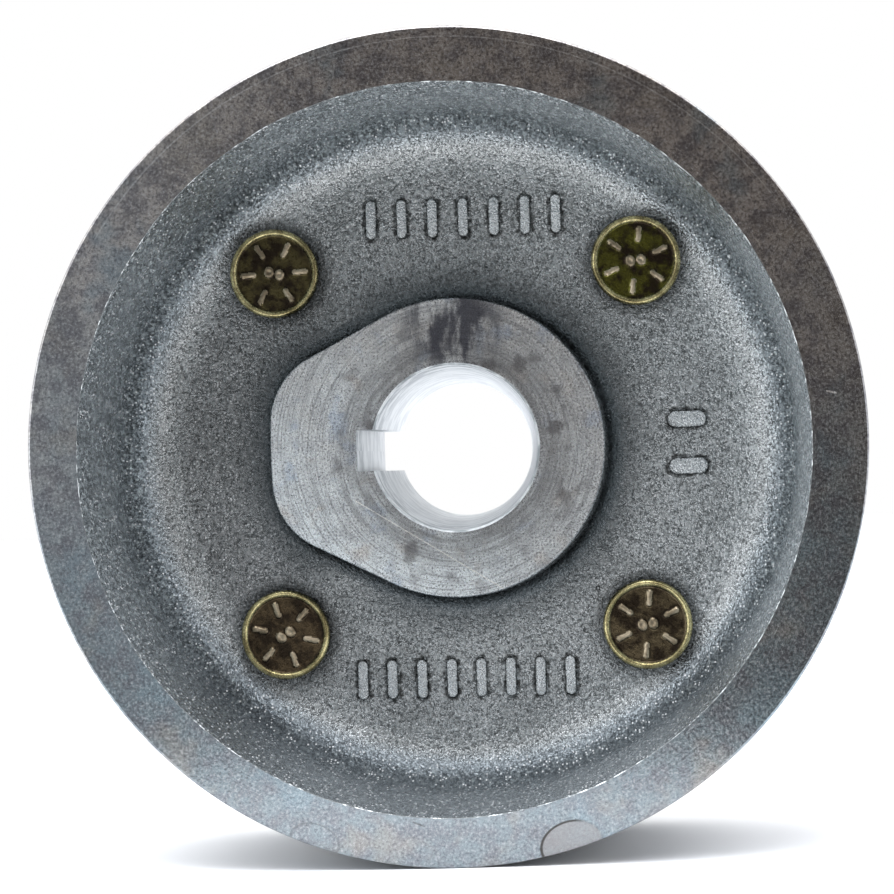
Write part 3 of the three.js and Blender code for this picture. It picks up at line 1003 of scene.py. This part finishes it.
def burr_edge():
    """The slightly torn edge round the mouth of the cup: bare metal, its bright dashes a painted highlight.
    """
    m = Nodes("burr_edge")
    torn = m.noise(800, 4, 0.7)
    m.set(
        color=m.mix(m.ramp(torn, 0.48, 0.62), (0.14, 0.15, 0.15), (0.8, 0.83, 0.83)),
        metal=1.0,
        rough=0.35,
        normal=m.bump(torn, 0.15 * MM, 1.0),
    )
    return m.material


def stud_metal(name, color, dark, stain, rough):
    """Yellow zinc plate: a gold tone over dark blotches."""
    m = Nodes(name)
    slow = m.noise(420, 3, 0.6)
    grain = m.noise(2600, 3, 0.7)
    tone = m.mix(m.ramp(slow, 0.38, 0.62), dark, color)
    m.set(
        color=m.tint(tone, stain, 0.4, m.ramp(grain, 0.5, 0.7)),
        metal=1.0,
        rough=m.ramp(grain, 0.3, 0.7, rough - 0.08, rough + 0.12),
        normal=m.bump(grain, 0.05 * MM, 0.8),
    )
    return m.material


# Where one surface of the casting ends and the next begins.
BORE_ZONE_RADIUS = 16 * MM
RIM_ZONE_RADIUS = RECESS_MOUTH_RADIUS + 1.5 * MM
RIM_ZONE_Y = RIM_FRONT_Y + 0.4 * MM
BURR_ZONE_Y = RIM_FRONT_Y + 0.3 * MM
REAR_ZONE_Y = WEB_BACK_Y - 0.5 * MM


def casting_zone(centre, normal):
    """Which surface of the casting a face belongs to."""
    radius = math.hypot(centre.x, centre.z)
    faces_front = normal.y < -0.5
    if radius < BORE_ZONE_RADIUS and HUB_FRONT_Y < centre.y < HUB_BACK_Y and abs(normal.y) < 0.9:
        return "bore"
    if faces_front and abs(centre.y - HUB_FRONT_Y) < 0.2 * MM:
        return "hub"
    if radius < RIM_ZONE_RADIUS and centre.y < BURR_ZONE_Y and not normal.y < -0.99:
        return "burr"
    if faces_front and centre.y < RIM_ZONE_Y:
        return "rim"
    if radius > RIM_ZONE_RADIUS or centre.y > REAR_ZONE_Y:
        return "outside"
    return "cast"


def paint_casting(obj):
    """Gives each face of the casting the material of its zone."""
    zones = {
        "cast": cast_skin(),
        "rim": rim_face(),
        "hub": hub_face(),
        "bore": bore_wall(),
        "outside": outside_face(),
        "burr": burr_edge(),
    }
    for material in zones.values():
        obj.data.materials.append(material)
    order = list(zones)
    for face in obj.data.polygons:
        zone = casting_zone(face.center, face.normal)
        face.material_index = order.index(zone)
        # A machined face is flat right up to its edge.
        if zone in ("rim", "hub") and face.normal.y < -0.999:
            face.use_smooth = False


# The plate on the dishes runs from olive to brown.
DISH_TINTS = [(0.11, 0.105, 0.022), (0.095, 0.078, 0.035), (0.09, 0.065, 0.038), (0.11, 0.085, 0.05)]


def paint_stud(obj, centre, tint):
    """Dark dish, a head side painted dark as shadow in the gap round the head, pale ribs and pads, and a
    gold rim, shank and thread.
    """
    dish = stud_metal("stud_dish_and_side_shade", tint, (0.03, 0.022, 0.015), (0.02, 0.015, 0.01), 0.2)
    raised = stud_metal("stud_raised", (0.58, 0.48, 0.34), (0.3, 0.24, 0.16), (0.08, 0.06, 0.04), 0.36)
    gold = stud_metal("stud_rim", (0.62, 0.54, 0.28), (0.3, 0.25, 0.12), (0.1, 0.08, 0.05), 0.24)
    for material in (dish, raised, gold):
        obj.data.materials.append(material)
    dish_and_side_shade_index, raised_index, gold_index = range(3)
    top = WEB_FRONT_Y - STUD_GAP - STUD_HEAD_HEIGHT
    raised_below = top + 0.3 * MM
    face_below = top + 0.8 * MM
    rim_outside = 6 * MM
    side_outside = STUD_HEAD_RADIUS - 0.15 * MM
    for face in obj.data.polygons:
        x, y, z = face.center
        radius = math.dist((x, z), centre)
        # The head's side takes the dark dish colour: painted shadow in the gap round the head.
        if radius > side_outside and face.normal.y > -0.5:
            face.material_index = dish_and_side_shade_index
        elif y > face_below or radius > rim_outside:
            face.material_index = gold_index
        else:
            face.material_index = raised_index if y < raised_below else dish_and_side_shade_index


# ------------------------------------------------------------------------------------------------ stage

# The table top, in metres.
TABLE_FRONT = -0.15
TABLE_BACK = 2.6
TABLE_HALF_WIDTH = 2.0


def build_stage():
    """A pale table top that ends a little in front of the wheel."""
    ground = CAD_BOX[0].z
    material = Nodes("studio_white")
    material.set(color=(0.93, 0.93, 0.93), rough=0.9, metal=0.0)
    corners = [(-1, TABLE_FRONT), (1, TABLE_FRONT), (1, TABLE_BACK), (-1, TABLE_BACK)]
    vertices = [(side * TABLE_HALF_WIDTH, y, ground) for side, y in corners]
    floor = new_object("studio_floor", vertices, [(0, 1, 2, 3)])
    floor.data.materials.append(material.material)


def area_light(name, place, target, size, power, color=(1, 1, 1)):
    """A soft light that is turned towards target and that the camera doesn't see."""
    data = bpy.data.lights.new(name, "AREA")
    data.shape = "RECTANGLE"
    data.size, data.size_y = size
    data.energy = power
    data.color = color
    obj = bpy.data.objects.new(name, data)
    obj.location = place
    obj.rotation_euler = (Vector(target) - Vector(place)).to_track_quat("-Z", "Y").to_euler()
    obj.visible_camera = False
    bpy.context.scene.collection.objects.link(obj)


# What the metal sees round it. In front it is dim. Then each side is an axis, the part of a direction
# along it where the side begins and where it is full, and its colour. The last one is behind the wheel.
DIM_FRONT = (0.175, 0.16, 0.15)
STUDIO_SIDES = [
    ("X", -0.12, -0.205, (0.52, 0.57, 0.62)),
    ("X", -0.5, -0.75, (2.5, 2.58, 2.7)),
    ("X", 0.55, 0.8, (1.45, 1.5, 1.6)),
    ("Z", 0.45, 0.8, (2.7, 2.75, 2.9)),
    ("Z", -0.2, -0.45, (0.75, 0.77, 0.8)),
]
STUDIO_BACK = ("Y", -0.1, 0.35, (0.95, 0.97, 1.0))
# A small white card in front, a little to the left and low: its direction, its soft edge and its colour.
SMALL_CARD = (-0.075, -0.995, -0.04)
SMALL_CARD_EDGE = (0.1, 0.04)
SMALL_CARD_COLOR = (1.85, 1.93, 2.0)


def build_world():
    """White to the camera. To the metal it is a studio: bright behind and above, dim in front."""
    world = bpy.data.worlds.new("studio")
    bpy.context.scene.world = world
    world.use_nodes = True
    tree = world.node_tree
    tree.nodes.clear()

    def add(kind, **settings):
        node = tree.nodes.new(kind)
        for key, value in settings.items():
            setattr(node, key, value)
        return node

    direction = add("ShaderNodeTexCoord").outputs["Generated"]
    split = add("ShaderNodeSeparateXYZ")
    tree.links.new(direction, split.inputs[0])

    def ramp(value, low, high):
        node = add("ShaderNodeMapRange", interpolation_type="SMOOTHSTEP")
        node.inputs["From Min"].default_value = low
        node.inputs["From Max"].default_value = high
        tree.links.new(value, node.inputs["Value"])
        return node.outputs["Result"]

    def blend(factor, under, color):
        node = add("ShaderNodeMix", data_type="RGBA")
        tree.links.new(factor, node.inputs[0])
        if isinstance(under, tuple):
            node.inputs[6].default_value = (*under, 1)
        else:
            tree.links.new(under, node.inputs[6])
        node.inputs[7].default_value = (*color, 1)
        return node.outputs[2]

    tone = DIM_FRONT
    for axis, start, full, color in STUDIO_SIDES:
        tone = blend(ramp(split.outputs[axis], start, full), tone, color)
    card = add("ShaderNodeVectorMath", operation="DISTANCE")
    tree.links.new(direction, card.inputs[0])
    card.inputs[1].default_value = SMALL_CARD
    tone = blend(ramp(card.outputs["Value"], *SMALL_CARD_EDGE), tone, SMALL_CARD_COLOR)
    axis, start, full, color = STUDIO_BACK
    tone = blend(ramp(split.outputs[axis], start, full), tone, color)
    seen = add("ShaderNodeLightPath").outputs["Is Camera Ray"]
    tone = blend(seen, tone, (1.0, 1.0, 1.0))
    background = add("ShaderNodeBackground")
    tree.links.new(tone, background.inputs["Color"])
    output = add("ShaderNodeOutputWorld")
    tree.links.new(background.outputs[0], output.inputs["Surface"])


def build_light():
    """The studio, a wide light over the table top and a narrower one over the wheel."""
    build_world()
    table = (0, 0.3, CAD_BOX[0].z)
    area_light("table_light", (0, 0.45, 1.4), table, size=(2.4, 1.4), power=15)
    wheel = (0, -0.03, 0)
    cool = (0.93, 0.97, 1.0)
    area_light("overhead", (-0.15, -0.36, 0.7), wheel, size=(0.7, 0.26), power=3.0, color=cool)


# ----------------------------------------------------------------------------------------------- camera

# From the rim's face and from the axis, then pitch, yaw and roll in degrees, and the lens in mm.
CAMERA_DISTANCE = 414.4 * MM
CAMERA_SIDE = 27.3 * MM
CAMERA_DROP = -4.1 * MM
CAMERA_TURN = (0.55, 3.72, -1.88)
CAMERA_LENS = 115.65


def build_camera():
    """The camera stands where the photograph was taken."""
    data = bpy.data.cameras.new("camera")
    data.lens = CAMERA_LENS
    data.sensor_width = 36
    data.clip_start = 0.01
    camera = bpy.data.objects.new("camera", data)
    pitch, yaw, roll = [math.radians(a) for a in CAMERA_TURN]
    turn = Matrix.Rotation(math.pi / 2, 4, "X") @ Matrix.Rotation(yaw, 4, "Y")
    turn = turn @ Matrix.Rotation(pitch, 4, "X") @ Matrix.Rotation(roll, 4, "Z")
    place = Vector((CAMERA_SIDE, RIM_FRONT_Y - CAMERA_DISTANCE, CAMERA_DROP))
    camera.matrix_world = Matrix.Translation(place) @ turn
    bpy.context.scene.collection.objects.link(camera)
    bpy.context.scene.camera = camera


# ------------------------------------------------------------------------------------------------- main

build_camera()
casting = build_casting()
smooth(casting)
paint_casting(casting)
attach(casting, "root")
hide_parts("flywheel_casting")

# How far each head is turned, in degrees.
STUD_TURNS = [22, 2, 48, 25]
for i, node in enumerate(STUD_NODES):
    stud = build_stud(node + "_fine", stud_place(i), math.radians(STUD_TURNS[i]))
    paint_stud(stud, stud_place(i), DISH_TINTS[i])
    smooth(stud, 50)
    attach(stud, "root")
    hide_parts(node)

build_stage()
build_light()
bpy.context.scene.view_settings.view_transform = "Standard"
